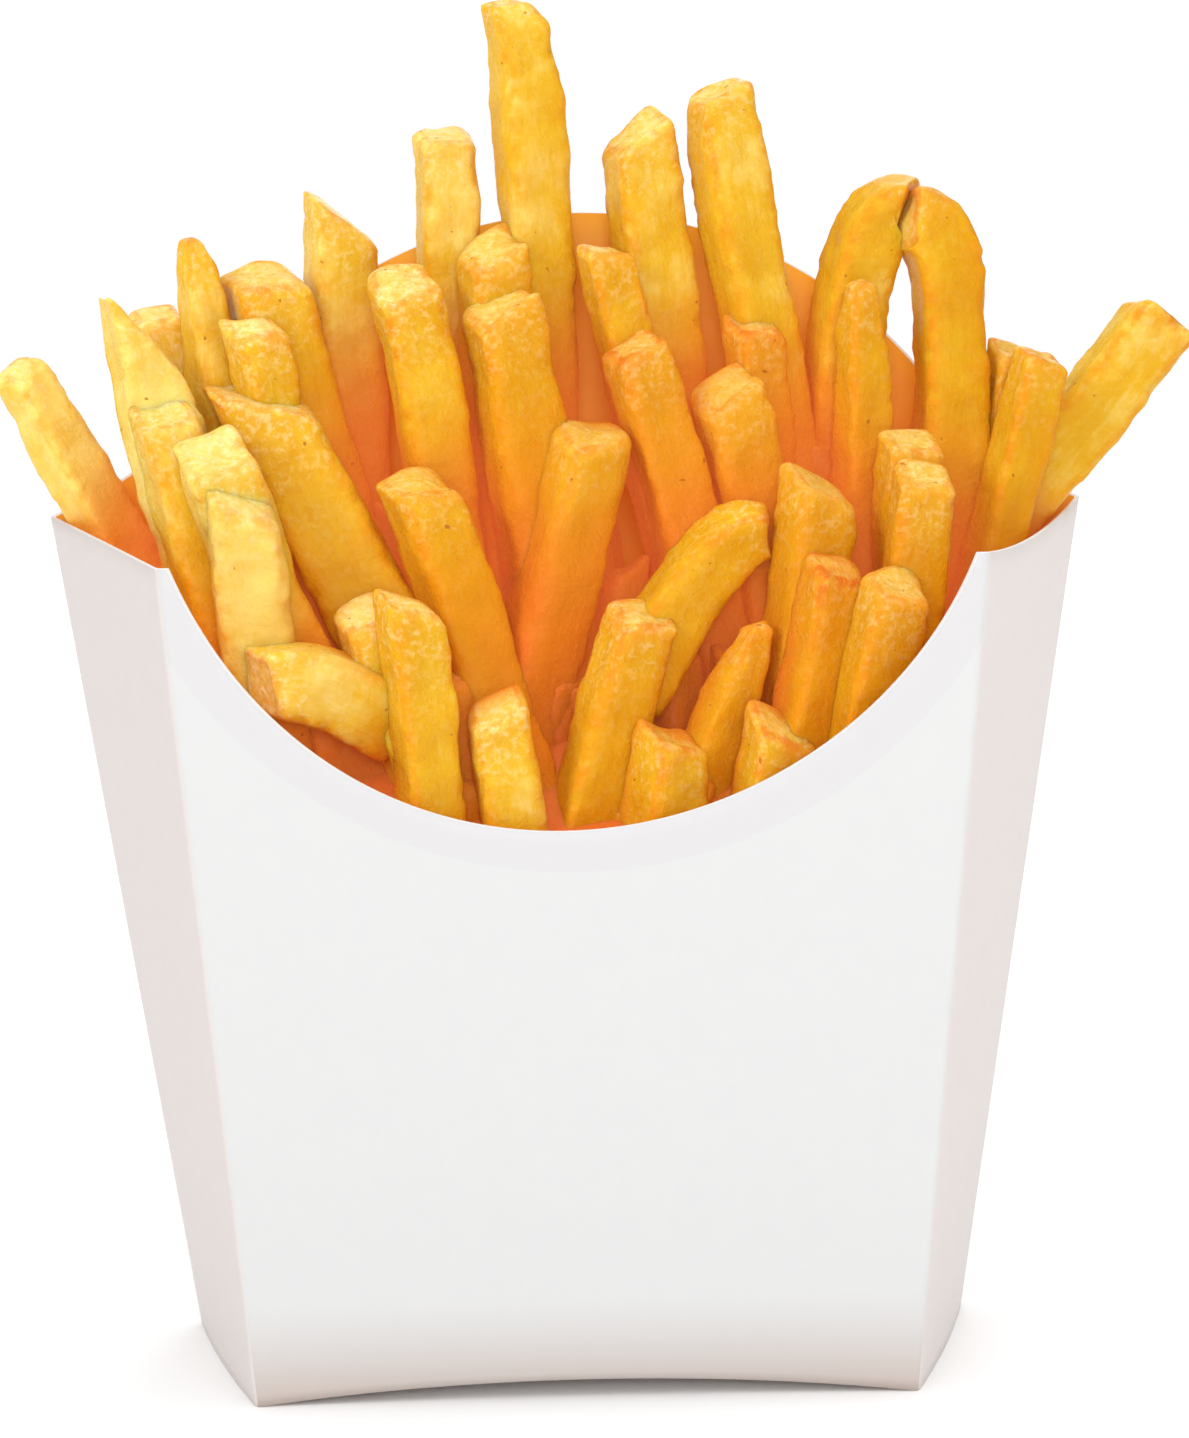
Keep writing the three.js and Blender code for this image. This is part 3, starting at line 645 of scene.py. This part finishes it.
def fry_arrays(spec, seed, row=FRY_ROW):
    """Vertices, faces and attributes of one fry."""
    side = spec["side"]
    own = np.random.default_rng(seed)
    gap, spine, along, u_axis, v_axis = fry_line(spec, row, own)
    # Its line wanders sideways and inward.
    start = np.full(len(gap), seed * SHIFT["walk"])
    walk = np.stack([gap / WANDER_SIZE, start, np.zeros(len(gap))], 1)
    settle = 1.0 - np.exp(-gap / WANDER_SIZE)
    for axis, shift in ((u_axis, SHIFT["sideways"]), (v_axis, SHIFT["inward"])):
        spine = spine + axis * (WANDER * lattice_noise(walk, 1.0, shift) * settle)[:, None]
    angle = section_angles()
    u, v = fry_section(spec, seed, gap, walk, angle)
    # The end closes in rings to its middle.
    rings = np.array(END_RINGS)[:, None]
    u = np.concatenate([u, u[-1:] * rings])
    v = np.concatenate([v, v[-1:] * rings])
    gap = np.concatenate([gap, np.zeros(len(rings))])
    last = len(gap) - len(rings)
    spine, along, u_axis, v_axis = (
        np.concatenate([a, np.repeat(a[-1:], len(rings), 0)])[:, None]
        for a in (spine, along, u_axis, v_axis)
    )
    # The cut slopes, and is uneven, and the slope fades out down the fry.
    cut = spec["cut"]
    fade = 1.0 - smooth(gap / (SHEAR_REACH * side))
    place = np.stack([u / side, v / side, np.zeros(u.shape)], 2)
    uneven = END_UNEVEN * side * lattice_noise(place, END_LUMP, seed * SHIFT["end"])
    lift = (cut[0] * u + cut[1] * v + uneven) * fade[:, None]
    grid = spine + u[..., None] * u_axis + v[..., None] * v_axis + lift[..., None] * along
    # Blisters, dents and crumbly edges.
    corner = np.exp(-((angle % (math.pi / 2.0) - math.pi / 4.0) / EDGE_WIDTH) ** 2)
    corner = np.repeat(corner[None], len(gap), 0)
    rim = np.exp(-gap / END_ROUND)
    rim[last:] = np.array(END_RINGS) ** 8 * RIM_WORN
    outward = unit(u[..., None] * u_axis + v[..., None] * v_axis + 1e-9)
    outward[last:] = along[last:]
    dents = sum(amount * lattice_noise(grid, size, seed * SHIFT["lumps"] + size)
                for amount, size in LUMPS)
    crumbs = EDGE_CRUMB * np.maximum(corner, rim[:, None])
    crumbs = crumbs * lattice_noise(grid, CRUMB_SIZE, seed * SHIFT["crumbs"])
    push = (dents + crumbs)[..., None] * outward
    grid[:last] += push[:last]
    grid[last:] += END_PUSH * push[last:] + rings[..., None] * push[last - 1]
    vertices = np.concatenate([grid.reshape(-1, 3), grid[-1].mean(0)[None], spine[0]])

    def spread(values, tip, foot):
        """The values by row or by point, with those of the two points that close the fry."""
        values = values if values.ndim == 2 else np.repeat(values[:, None], FRY_COLUMNS, 1)
        return np.append(values.reshape(-1), [tip, foot])

    def even(value):
        return np.full(len(vertices), float(value))

    edge = np.maximum(corner, rim[:, None])
    edge[last:] = rim[last:, None]
    cap = np.concatenate([np.exp(-gap[:last] / CAP_REACH), np.ones(len(rings))])
    facing = FACE_TONE * np.cos(angle - own.uniform(0.0, 2.0 * math.pi))
    tone = spec["tone"] + np.repeat(facing[None], len(gap), 0)
    painted_shade, glow = shaded(vertices, spec["shade"])
    grain = np.stack([u, v, np.repeat(gap[:, None], FRY_COLUMNS, 1)], 2).reshape(-1, 3)
    grain = grain + seed * SHIFT["grain"]
    attributes = {
        "edge": spread(edge, 0.0, 0.0),
        "tip": spread(np.exp(-gap / TIP_REACH), 1.0, 0.0),
        "cap": spread(cap, 1.0, 0.0),
        "tone": spread(tone, spec["tone"], spec["tone"]),
        "burn": even(spec["burn"]),
        "frost": even(spec.get("frost", FROST_MIDDLE - spec["tip"][0] * FROST_SLOPE)),
        "painted_shade": painted_shade,
        "glow": glow,
        "grain": np.concatenate([grain, grain[-1:], grain[:1]]) * MM,
    }
    quads, triangles = grid_faces(len(gap), FRY_COLUMNS)
    return vertices, quads, triangles, attributes


def grid_faces(rows, columns):
    """Quads of a tube of rings and the fans that close it: its last ring to the point after the
    grid and its first ring to the point after that."""
    r, c = np.meshgrid(np.arange(rows - 1), np.arange(columns), indexing="ij")
    here, above = r * columns, (r + 1) * columns
    n = (c + 1) % columns
    quads = np.stack([here + c, here + n, above + n, above + c], -1)
    around = np.arange(columns)
    after = (around + 1) % columns
    top = (rows - 1) * columns
    last, first = rows * columns, rows * columns + 1
    upper = np.stack([top + around, top + after, np.full(columns, last)], -1)
    lower = np.stack([after, around, np.full(columns, first)], -1)
    return quads.reshape(-1, 4), np.concatenate([upper, lower])


def seeded_random(seed):
    """The same stream of numbers as the CAD's fill fries are drawn from."""
    state = seed & 0xFFFFFFFF

    def imul(a, b):
        return (a * b) & 0xFFFFFFFF

    def draw():
        nonlocal state
        state = (state + 0x6D2B79F5) & 0xFFFFFFFF
        t = state
        t = imul(t ^ (t >> 15), t | 1)
        t ^= (t + imul(t ^ (t >> 7), t | 61)) & 0xFFFFFFFF
        return ((t ^ (t >> 14)) & 0xFFFFFFFF) / 4294967296.0

    return draw


def heap_height(y):
    """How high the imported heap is, from the front wall to the back one."""
    return lerp(HEAP_FRONT, HEAP_BACK, (y - RIM["front_y"]) / (RIM["back_y"] - RIM["front_y"]))


def fill_specs():
    """Rows of short fries, lower at the front, that lean outward."""
    draw = seeded_random(FILL_SPREAD["seed"])

    def spread(key):
        return (draw() - 0.5) * FILL_SPREAD[key]

    specs = []
    for y in FILL_ROWS:
        share = (y - FILL_FRONT) / (FILL_ROWS[-1] - FILL_FRONT)
        column = -FILL_HALF
        while column <= FILL_HALF:
            x = column + spread("across")
            rise = FILL_RISE * share + spread("rise")
            lean = column / FILL_HALF * rise * FILL_LEAN + spread("lean")
            foot = (x, y, heap_height(y) - FILL_DEPTH)
            tip = (x + lean, y, heap_height(y) + max(rise, FILL_LOWEST_RISE))
            specs.append(fry(tip, foot, FILL_SIDE, turn=draw() * FILL_TURN))
            column += FILL_STEP
    rng = np.random.default_rng(FILL_LOOKS_SEED)
    for spec in specs:
        spec["tone"] = float(rng.uniform(*FILL_TONE))
        spec["cut"] = (float(rng.uniform(*FILL_CUT)), float(rng.uniform(*FILL_CUT)))
    return specs


def outline_corners(outline):
    """From the front left corner round by the right."""
    front, back = outline["front_half"], outline["back_half"]
    front_y, back_y = outline["front_y"], outline["back_y"]
    return np.array([(-front, front_y), (front, front_y), (back, back_y), (-back, back_y)])


def heap_arrays():
    """The core under the fries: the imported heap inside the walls, with a lumpy top."""
    place = np.arange(CORE_COLUMNS) / CORE_COLUMNS * 4.0
    side, t = place.astype(int), (place % 1.0)[:, None]
    outlines = [outline_corners(inset_outline(outline, CORE_INSET)) for outline in (BASE, RIM)]
    low, high = (lerp(outline[side], outline[(side + 1) % 4], t) for outline in outlines)
    grid = []
    for up in CORE_SIDES:
        z = lerp(CORE_FLOOR, heap_height(high[:, 1]) - CORE_SINK, up)
        xy = lerp(low, high, (z / RIM["front_z"])[:, None])
        grid.append(np.column_stack([xy, z]))
    x, y = xy.T
    middle_y = (RIM["front_y"] + RIM["back_y"]) / 2.0
    for out in np.linspace(*CORE_REACH, CORE_RINGS):
        depth = lerp(middle_y, y, out)
        height = heap_height(depth) - CORE_SINK + HEAP_DOME * (1.0 - out ** 2)
        grid.append(np.column_stack([x * out, depth, height]))
    grid = np.array(grid)
    top = grid[len(CORE_SIDES):]
    flat = top * (1.0, 1.0, 0.0)
    top[..., 2] += CORE_LUMP * lattice_noise(flat, CORE_LUMP_SIZE, CORE_LUMP_SHIFT)
    vertices = np.concatenate([
        grid.reshape(-1, 3),
        [grid[-1].mean(0)],
        [(0.0, middle_y, CORE_FLOOR)],
    ])
    quads, triangles = grid_faces(len(grid), CORE_COLUMNS)
    # The core takes the full painted shade and part of the painted glow.
    looks = dict(edge=0.0, tip=0.0, cap=0.0, burn=0.0, frost=0.0, tone=CORE_TONE, painted_shade=1.0,
                 glow=GLOW_CORE)
    attributes = {name: np.full(len(vertices), value) for name, value in looks.items()}
    attributes["grain"] = vertices * MM
    return vertices, quads, triangles, attributes


# ------------------------ Blender meshes

def signed_volume(vertices, quads, triangles):
    """The volume inside the faces, which is negative where they look inward."""
    faces = np.concatenate([quads[:, [0, 1, 2]], quads[:, [0, 2, 3]], triangles])
    a, b, c = (vertices[faces[:, i]] for i in range(3))
    return float(np.einsum("ij,ij->i", a, np.cross(b, c)).sum()) / 6.0


def joined(parts):
    """Several closed shapes as one, each with its faces outward."""
    vertices, quads, triangles, attributes = [], [], [], {}
    count = 0
    for v, q, t, a in parts:
        if signed_volume(v - v.mean(0), q, t) < 0:
            q, t = q[:, ::-1], t[:, ::-1]
        vertices.append(v)
        quads.append(q + count)
        triangles.append(t + count)
        for key, value in a.items():
            attributes.setdefault(key, []).append(value)
        count += len(v)
    return (np.concatenate(vertices), np.concatenate(quads), np.concatenate(triangles),
            {k: np.concatenate(v) for k, v in attributes.items()})


def make_object(name, vertices, quads, triangles, attributes, materials, slots=None):
    """A smooth-shaded mesh object from millimetres, with a value of each attribute by vertex."""
    mesh = bpy.data.meshes.new(name)
    mesh.vertices.add(len(vertices))
    mesh.vertices.foreach_set("co", (vertices * MM).astype(np.float32).reshape(-1))
    loops = np.concatenate([quads.reshape(-1), triangles.reshape(-1)]).astype(np.int32)
    mesh.loops.add(len(loops))
    mesh.loops.foreach_set("vertex_index", loops)
    total = np.concatenate([np.full(len(quads), 4), np.full(len(triangles), 3)]).astype(np.int32)
    mesh.polygons.add(len(total))
    mesh.polygons.foreach_set("loop_start", (np.cumsum(total) - total).astype(np.int32))
    mesh.polygons.foreach_set("loop_total", total)
    mesh.polygons.foreach_set("use_smooth", np.ones(len(total), bool))
    for material in materials:
        mesh.materials.append(material)
    if slots is not None:
        mesh.polygons.foreach_set("material_index", slots.astype(np.int32))
    for key, values in attributes.items():
        if values.ndim == 2:
            layer = mesh.attributes.new(key, "FLOAT_VECTOR", "POINT")
            layer.data.foreach_set("vector", values.astype(np.float32).reshape(-1))
        else:
            layer = mesh.attributes.new(key, "FLOAT", "POINT")
            layer.data.foreach_set("value", values.astype(np.float32))
    mesh.update(calc_edges=True)
    mesh.validate()
    piece = bpy.data.objects.new(name, mesh)
    bpy.context.scene.collection.objects.link(piece)
    return piece


# ------------------------ materials

class Nodes:
    """The node tree of a material or world, with short calls to add and join nodes."""

    def __init__(self, owner, shader):
        self.owner = owner
        owner.use_nodes = True
        self.tree = owner.node_tree
        self.shader = self.tree.nodes[shader]

    def add(self, kind, inputs=None, **settings):
        node = self.tree.nodes.new("ShaderNode" + kind)
        for key, value in settings.items():
            setattr(node, key, value)
        for key, value in (inputs or {}).items():
            self.put(node.inputs[key], value)
        return node

    def put(self, socket, value):
        if isinstance(value, bpy.types.NodeSocket):
            self.tree.links.new(value, socket)
        else:
            socket.default_value = value

    def value(self, operation, *inputs, clamp=False):
        node = self.add("Math", operation=operation, use_clamp=clamp)
        for socket, value in zip(node.inputs, inputs):
            self.put(socket, value)
        return node.outputs[0]

    def attribute(self, name):
        return self.add("Attribute", attribute_name=name).outputs["Fac"]

    def noise(self, size, detail, roughness=0.55, vector=None):
        """Noise with lumps of about the given size in millimetres."""
        inputs = {"Scale": 1.0 / (size * MM), "Detail": detail, "Roughness": roughness,
                  "Vector": vector or self.coordinates}
        return self.add("TexNoise", inputs).outputs["Fac"]

    def ramp(self, fac, stops):
        node = self.add("ValToRGB", {"Fac": fac})
        elements = node.color_ramp.elements
        while len(elements) < len(stops):
            elements.new(0.5)
        for element, (at, color) in zip(elements, stops):
            element.position = at
            element.color = (*color, 1.0)
        return node.outputs["Color"]

    def span(self, value, low, high, to_low=0.0, to_high=1.0):
        """The value taken from between low and high to between to_low and to_high, and clamped."""
        inputs = {"Value": value, "From Min": low, "From Max": high,
                  "To Min": to_low, "To Max": to_high}
        return self.add("MapRange", inputs, clamp=True).outputs[0]

    def times(self, a, b):
        return self.value("MULTIPLY", a, b)

    def plus(self, a, b):
        return self.value("ADD", a, b)

    def mix(self, fac, a, b):
        node = self.add("Mix", data_type="RGBA")
        self.put(node.inputs["Factor"], fac)
        sockets = [s for s in node.inputs if s.type == "RGBA"]
        for socket, value in zip(sockets, (a, b)):
            self.put(socket, (*value, 1.0) if isinstance(value, tuple) else value)
        return [s for s in node.outputs if s.type == "RGBA"][0]

    @property
    def coordinates(self):
        if not hasattr(self, "_coordinates"):
            self._coordinates = self.add("TexCoord").outputs["Object"]
        return self._coordinates

    def bump(self, height, strength, distance):
        inputs = {"Height": height, "Strength": strength, "Distance": distance * MM}
        return self.add("Bump", inputs).outputs["Normal"]

    def finish(self, **inputs):
        """Sets the shader's inputs, named with _ for each space."""
        for key, value in inputs.items():
            socket = self.shader.inputs[key.replace("_", " ")]
            if isinstance(value, tuple) and socket.type == "RGBA":
                value = (*value, 1.0)
            self.put(socket, value)
        return self.owner


def material_nodes(name):
    return Nodes(bpy.data.materials.new(name), "Principled BSDF")


def fried_potato():
    n = material_nodes("fried_potato")
    tone, edge, tip, cap, burn, frost, painted_shade, glow = (
        n.attribute(name)
        for name in ("tone", "edge", "tip", "cap", "burn", "frost", "painted_shade", "glow")
    )
    grain = n.add("Attribute", attribute_name="grain").outputs["Vector"]
    drawn = n.add("Mapping", {"Vector": grain, "Scale": (1.0, 1.0, 0.16)}).outputs["Vector"]
    broad = n.noise(8.0, 2.0)
    medium = n.noise(2.4, 4.0, 0.6)
    grit = n.noise(1.0, 3.0, 0.6)
    fine = n.noise(0.5, 3.0, 0.7)
    streak = n.noise(0.8, 3.0, 0.6, vector=drawn)
    # The tone varies in patches, spots and streaks along the fry.
    level = n.plus(tone, n.span(broad, *MOST, -0.14, 0.14))
    level = n.plus(level, n.span(medium, *MOST, -0.08, 0.08))
    level = n.value("ADD", level, n.span(streak, *MOST, -0.07, 0.07), clamp=True)
    base = n.ramp(level, TONES)
    base = n.mix(n.times(tip, n.span(medium, 0.35, 0.6, 0.15, 0.6)), base, TIP_YELLOW)
    # A pale crisp film, partly a painted highlight, and pale crumbs on the end.
    film_and_highlight = n.times(n.span(medium, 0.46, 0.66), n.span(grit, 0.36, 0.6, 0.1, 1.0))
    film_and_highlight = n.times(film_and_highlight, n.times(frost, n.span(tip, 0.0, 0.3, 0.45, 1.0)))
    base = n.mix(film_and_highlight, base, FILM_AND_HIGHLIGHT_PALE)
    crumb = n.times(cap, n.span(grit, 0.32, 0.6, 0.2, 0.9))
    crumb = n.times(crumb, n.span(frost, 0.0, 0.8, 0.4, 1.0))
    base = n.mix(crumb, base, CRUMB_PALE)
    # Crusty edges, and light grains mostly near the tip, which are partly painted highlights.
    crust = n.times(edge, n.span(medium, 0.36, 0.6, 0.1, 0.75))
    crust = n.times(crust, n.span(tone, 0.0, 0.5, 0.3, 1.0))
    base = n.mix(crust, base, CRUST_ORANGE)
    grains_and_highlights = n.times(n.span(grit, 0.50, 0.66, 0.0, 0.5), n.span(tip, 0.0, 0.5, 0.1, 1.0))
    grains_and_highlights = n.times(grains_and_highlights, n.span(frost, 0.0, 0.6, 0.4, 1.0))
    base = n.mix(grains_and_highlights, base, GRAIN_AND_HIGHLIGHT_WHITE)
    # Painted shade: deeper orange down in the heap and on faces turned from the light.
    base = n.mix(n.span(painted_shade, 0.04, 0.42, 0.0, PAINTED_SHADE_MIX), base, n.ramp(painted_shade, PAINTED_SHADE_ORANGES))
    normal = n.add("NewGeometry").outputs["Normal"]
    turned = n.add("VectorMath", {0: normal, 1: SUNNY}, operation="DOT_PRODUCT").outputs["Value"]
    base = n.mix(n.span(turned, 0.0, 0.9, 0.4, 0.0), base, SHADY_ORANGE)
    # Rare brown specks, and the scorched tip.
    base = n.mix(n.span(n.noise(1.1, 0.0), 0.845, 0.87, 0.0, 0.7), base, SPECK_BROWN)
    scorch = n.times(burn, n.times(tip, n.span(medium, 0.36, 0.6)))
    scorch = n.value("MULTIPLY", scorch, n.span(edge, 0.0, 1.0, 0.6, 1.8), clamp=True)
    base = n.mix(scorch, base, SCORCH_RED)
    height = n.plus(n.times(fine, 0.3), n.times(medium, 0.5))
    height = n.plus(n.plus(height, grit), n.times(streak, 0.4))
    return n.finish(
        Base_Color=base,
        Roughness=n.span(fine, *MOST, 0.22, 0.42),
        Normal=n.bump(height, 0.8, 0.24),
        Subsurface_Weight=0.4,
        Subsurface_Radius=(1.0, 0.45, 0.15),
        Subsurface_Scale=0.004,
        Specular_IOR_Level=0.09,
        IOR=1.45,
        # Painted light: a faint glow where the heap is shaded.
        Emission_Color=n.mix(n.span(glow, 0.05, 0.6), BLACK, GLOW_COLOR),
        Emission_Strength=GLOW,
    )


def board_bump(n):
    """Fine fibres on a faint wave."""
    fibre = n.noise(0.7, 4.0, 0.6)
    wave = n.noise(16.0, 2.0)
    return n.bump(n.plus(n.times(fibre, 0.35), wave), 0.25, 0.12)


def board_outside(offset):
    n = material_nodes("board_outside")
    mottle = n.noise(3.0, 5.0, 0.6)
    base = n.mix(n.span(mottle, *MOST), *BOARD_WHITES)
    split = n.add("SeparateXYZ", {"Vector": n.coordinates})
    # The band: within reach of the scoop's arc, and on the front panel.
    x = n.value("SUBTRACT", split.outputs["X"], offset[0] * MM)
    z = n.value("SUBTRACT", split.outputs["Z"], (SCOOP_LOWEST + SCOOP_RADIUS + offset[2]) * MM)
    away = n.value("SQRT", n.plus(n.times(x, x), n.times(z, z)))
    reach = [(SCOOP_RADIUS + below) * MM for below in BAND_REACH]
    depth = [(offset[1] + behind) * MM for behind in BAND_BEHIND]
    band = n.span(away, *reach, 1.0, 0.0)
    front = n.span(split.outputs["Y"], *depth, 1.0, 0.0)
    base = n.mix(n.times(band, front), base, BAND_GREY)
    # Painted shade towards the foot.
    foot = n.span(split.outputs["Z"], 0.0, FOOT_SHADE_HEIGHT * MM, 1.0, 0.0)
    base = n.mix(n.value("POWER", foot, FOOT_SHADE_POWER), base, FOOT_PAINTED_SHADE)
    return n.finish(
        Base_Color=base,
        Roughness=n.span(mottle, *MOST, 0.42, 0.5),
        Normal=board_bump(n),
        Specular_IOR_Level=0.4,
    )


def board_plain(name, colors, roughness, specular, grain):
    n = material_nodes(name)
    base = n.mix(n.span(n.noise(*grain), *MOST), *colors)
    return n.finish(
        Base_Color=base,
        Roughness=roughness,
        Normal=board_bump(n),
        Specular_IOR_Level=specular,
    )


def board_edge():
    n = material_nodes("board_edge")
    fibre = n.noise(0.35, 4.0, 0.7)
    base = n.mix(n.span(fibre, *MOST), *EDGE_WHITES)
    return n.finish(Base_Color=base, Roughness=0.8, Normal=n.bump(fibre, 0.4, 0.1))


def floor_material():
    n = material_nodes("studio_floor")
    base = n.mix(n.noise(40.0, 2.0), *FLOOR_WHITES)
    return n.finish(Base_Color=base, Roughness=0.7, Specular_IOR_Level=0.2)


# ------------------------ the stage

def make_world():
    n = Nodes(bpy.data.worlds.new("studio"), "Background")
    toward = n.add("TexCoord").outputs["Generated"]
    up = n.add("SeparateXYZ", {"Vector": toward}).outputs["Z"]
    lit = n.add("VectorMath", {0: toward, 1: LIGHT_FROM}, operation="DOT_PRODUCT").outputs["Value"]
    above = n.span(lit, WORLD_LOW, 1.0, WORLD_DARK, WORLD_BRIGHT)
    ends = {0: n.span(up, *HORIZON_BAND), 2: WORLD_HORIZON, 3: above}
    strength = n.add("Mix", ends, data_type="FLOAT").outputs[0]
    bpy.context.scene.world = n.finish(Color=(1.0, 1.0, 1.0), Strength=strength)


def make_lamps():
    """The lamps, by name."""
    lamps = {}
    for settings in LAMPS:
        data = bpy.data.lights.new(settings["name"], "AREA")
        data.shape = "SQUARE"
        data.size = settings["size"]
        data.energy = settings["power"]
        lamp = bpy.data.objects.new(settings["name"], data)
        bpy.context.scene.collection.objects.link(lamp)
        lamp.location = settings["place"]
        toward = Vector(LAMP_AIM) - lamp.location
        lamp.rotation_euler = toward.to_track_quat("-Z", "Y").to_euler()
        lamps[settings["name"]] = lamp
    return lamps


def make_camera(offset):
    """A camera at a distance from the point that it aims at, by its pitch, yaw and roll."""
    pitch, yaw, roll = (math.radians(CAMERA[name]) for name in ("pitch", "yaw", "roll"))
    level_right = Vector((math.cos(yaw), -math.sin(yaw), 0.0))
    level_ahead = Vector((math.sin(yaw), math.cos(yaw), 0.0))
    ahead = level_ahead * math.cos(pitch) - Vector((0.0, 0.0, math.sin(pitch)))
    level_up = level_right.cross(ahead)
    right = math.cos(roll) * level_right - math.sin(roll) * level_up
    up = math.sin(roll) * level_right + math.cos(roll) * level_up
    place = (Vector(CAMERA["aim"]) + Vector(offset)) * MM - ahead * CAMERA["distance"] * MM
    data = bpy.data.cameras.new("camera")
    data.sensor_width = SENSOR
    data.lens = CAMERA["focal_pixels"] * SENSOR / max(IMAGE)
    data.clip_start, data.clip_end = CLIP
    camera = bpy.data.objects.new("camera", data)
    bpy.context.scene.collection.objects.link(camera)
    rotation = Matrix((right, up, -ahead)).transposed().to_4x4()
    camera.matrix_world = Matrix.Translation(place) @ rotation
    bpy.context.scene.camera = camera


def make_floor():
    signs = ((-1, -1), (1, -1), (1, 1), (-1, 1))
    vertices = np.array([(x * FLOOR_HALF, y * FLOOR_HALF, 0.0) for x, y in signs])
    quads = np.array([(0, 1, 2, 3)])
    floor = make_object("floor", vertices, quads, np.zeros((0, 3), int), {}, [floor_material()])


# ------------------------ putting it together

def carton_piece(offset):
    columns, outside, edge, side_columns = carton_arrays()
    count, rows = columns.shape[:2]
    r, c = np.meshgrid(np.arange(rows - 1), np.arange(count), indexing="ij")
    here, after = c * rows + r, (c + 1) % count * rows + r
    quads = np.stack([here, after, after + 1, here + 1], -1).reshape(-1, 4)
    materials = [
        board_outside(offset),
        board_plain("board_inside", INSIDE_YELLOWS, 0.5, 0.35, (2.4, 4.0, 0.6)),
        board_edge(),
        board_plain("board_side", SIDE_GREYS, 0.46, 0.4, (3.0, 5.0, 0.6)),
    ]
    front, inner, rim, side = range(len(materials))
    outer = np.where(np.isin(c, side_columns), side, front)
    slots = np.where(r < outside, outer, np.where(r < edge, rim, inner)).reshape(-1)
    vertices = columns.reshape(-1, 3) + offset
    no_triangles = np.zeros((0, 3), int)
    piece = make_object("carton_board", vertices, quads, no_triangles, {}, materials, slots)
    # All lines start and end in the two middles of the base, which become single points.
    work = bmesh.new()
    work.from_mesh(piece.data)
    bmesh.ops.remove_doubles(work, verts=work.verts, dist=SAME_PLACE)
    bmesh.ops.recalc_face_normals(work, faces=work.faces)
    work.to_mesh(piece.data)
    work.free()
    return piece


def dress(piece, node):
    """Rides the piece on the part's only body, in place of a CAD node."""
    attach(piece, "root")
    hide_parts(node)


def row_offset():
    """How far the carton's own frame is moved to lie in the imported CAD's."""
    low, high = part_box("carton")
    points = carton_arrays()[0].reshape(-1, 3)
    own_low, own_high = points.min(0), points.max(0)
    return np.array([
        (low.x + high.x) / 2.0 / MM - (own_low[0] + own_high[0]) / 2.0,
        high.y / MM - own_high[1],
        0.0,
    ])


def main():
    offset = row_offset()
    make_camera(offset)
    make_world()
    lamps = make_lamps()
    make_floor()
    # The key lamp lights the fries alone, so that the board keeps an even light.
    lit = bpy.data.collections.new("lit_by_key")
    lamps["key"].light_linking.receiver_collection = lit
    lamps["key"].light_linking.blocker_collection = lit
    dress(carton_piece(offset), "carton")
    potato = fried_potato()
    groups = {
        name: [fry_arrays(spec, GROUP_SEEDS[name] + i) for i, spec in enumerate(specs.values())]
        for name, specs in FRIES.items()
    }
    groups["fill"] = [fry_arrays(spec, FILL_SEEDS + i, FILL_MESH_ROW)
                      for i, spec in enumerate(fill_specs())]
    groups["core"] = [heap_arrays()]
    for name, parts in groups.items():
        vertices, quads, triangles, attributes = joined(parts)
        vertices = vertices + offset
        piece = make_object("fries_" + name, vertices, quads, triangles, attributes, [potato])
        dress(piece, "fries")
        lit.objects.link(piece)
    bpy.context.scene.view_settings.view_transform = "Standard"


main()
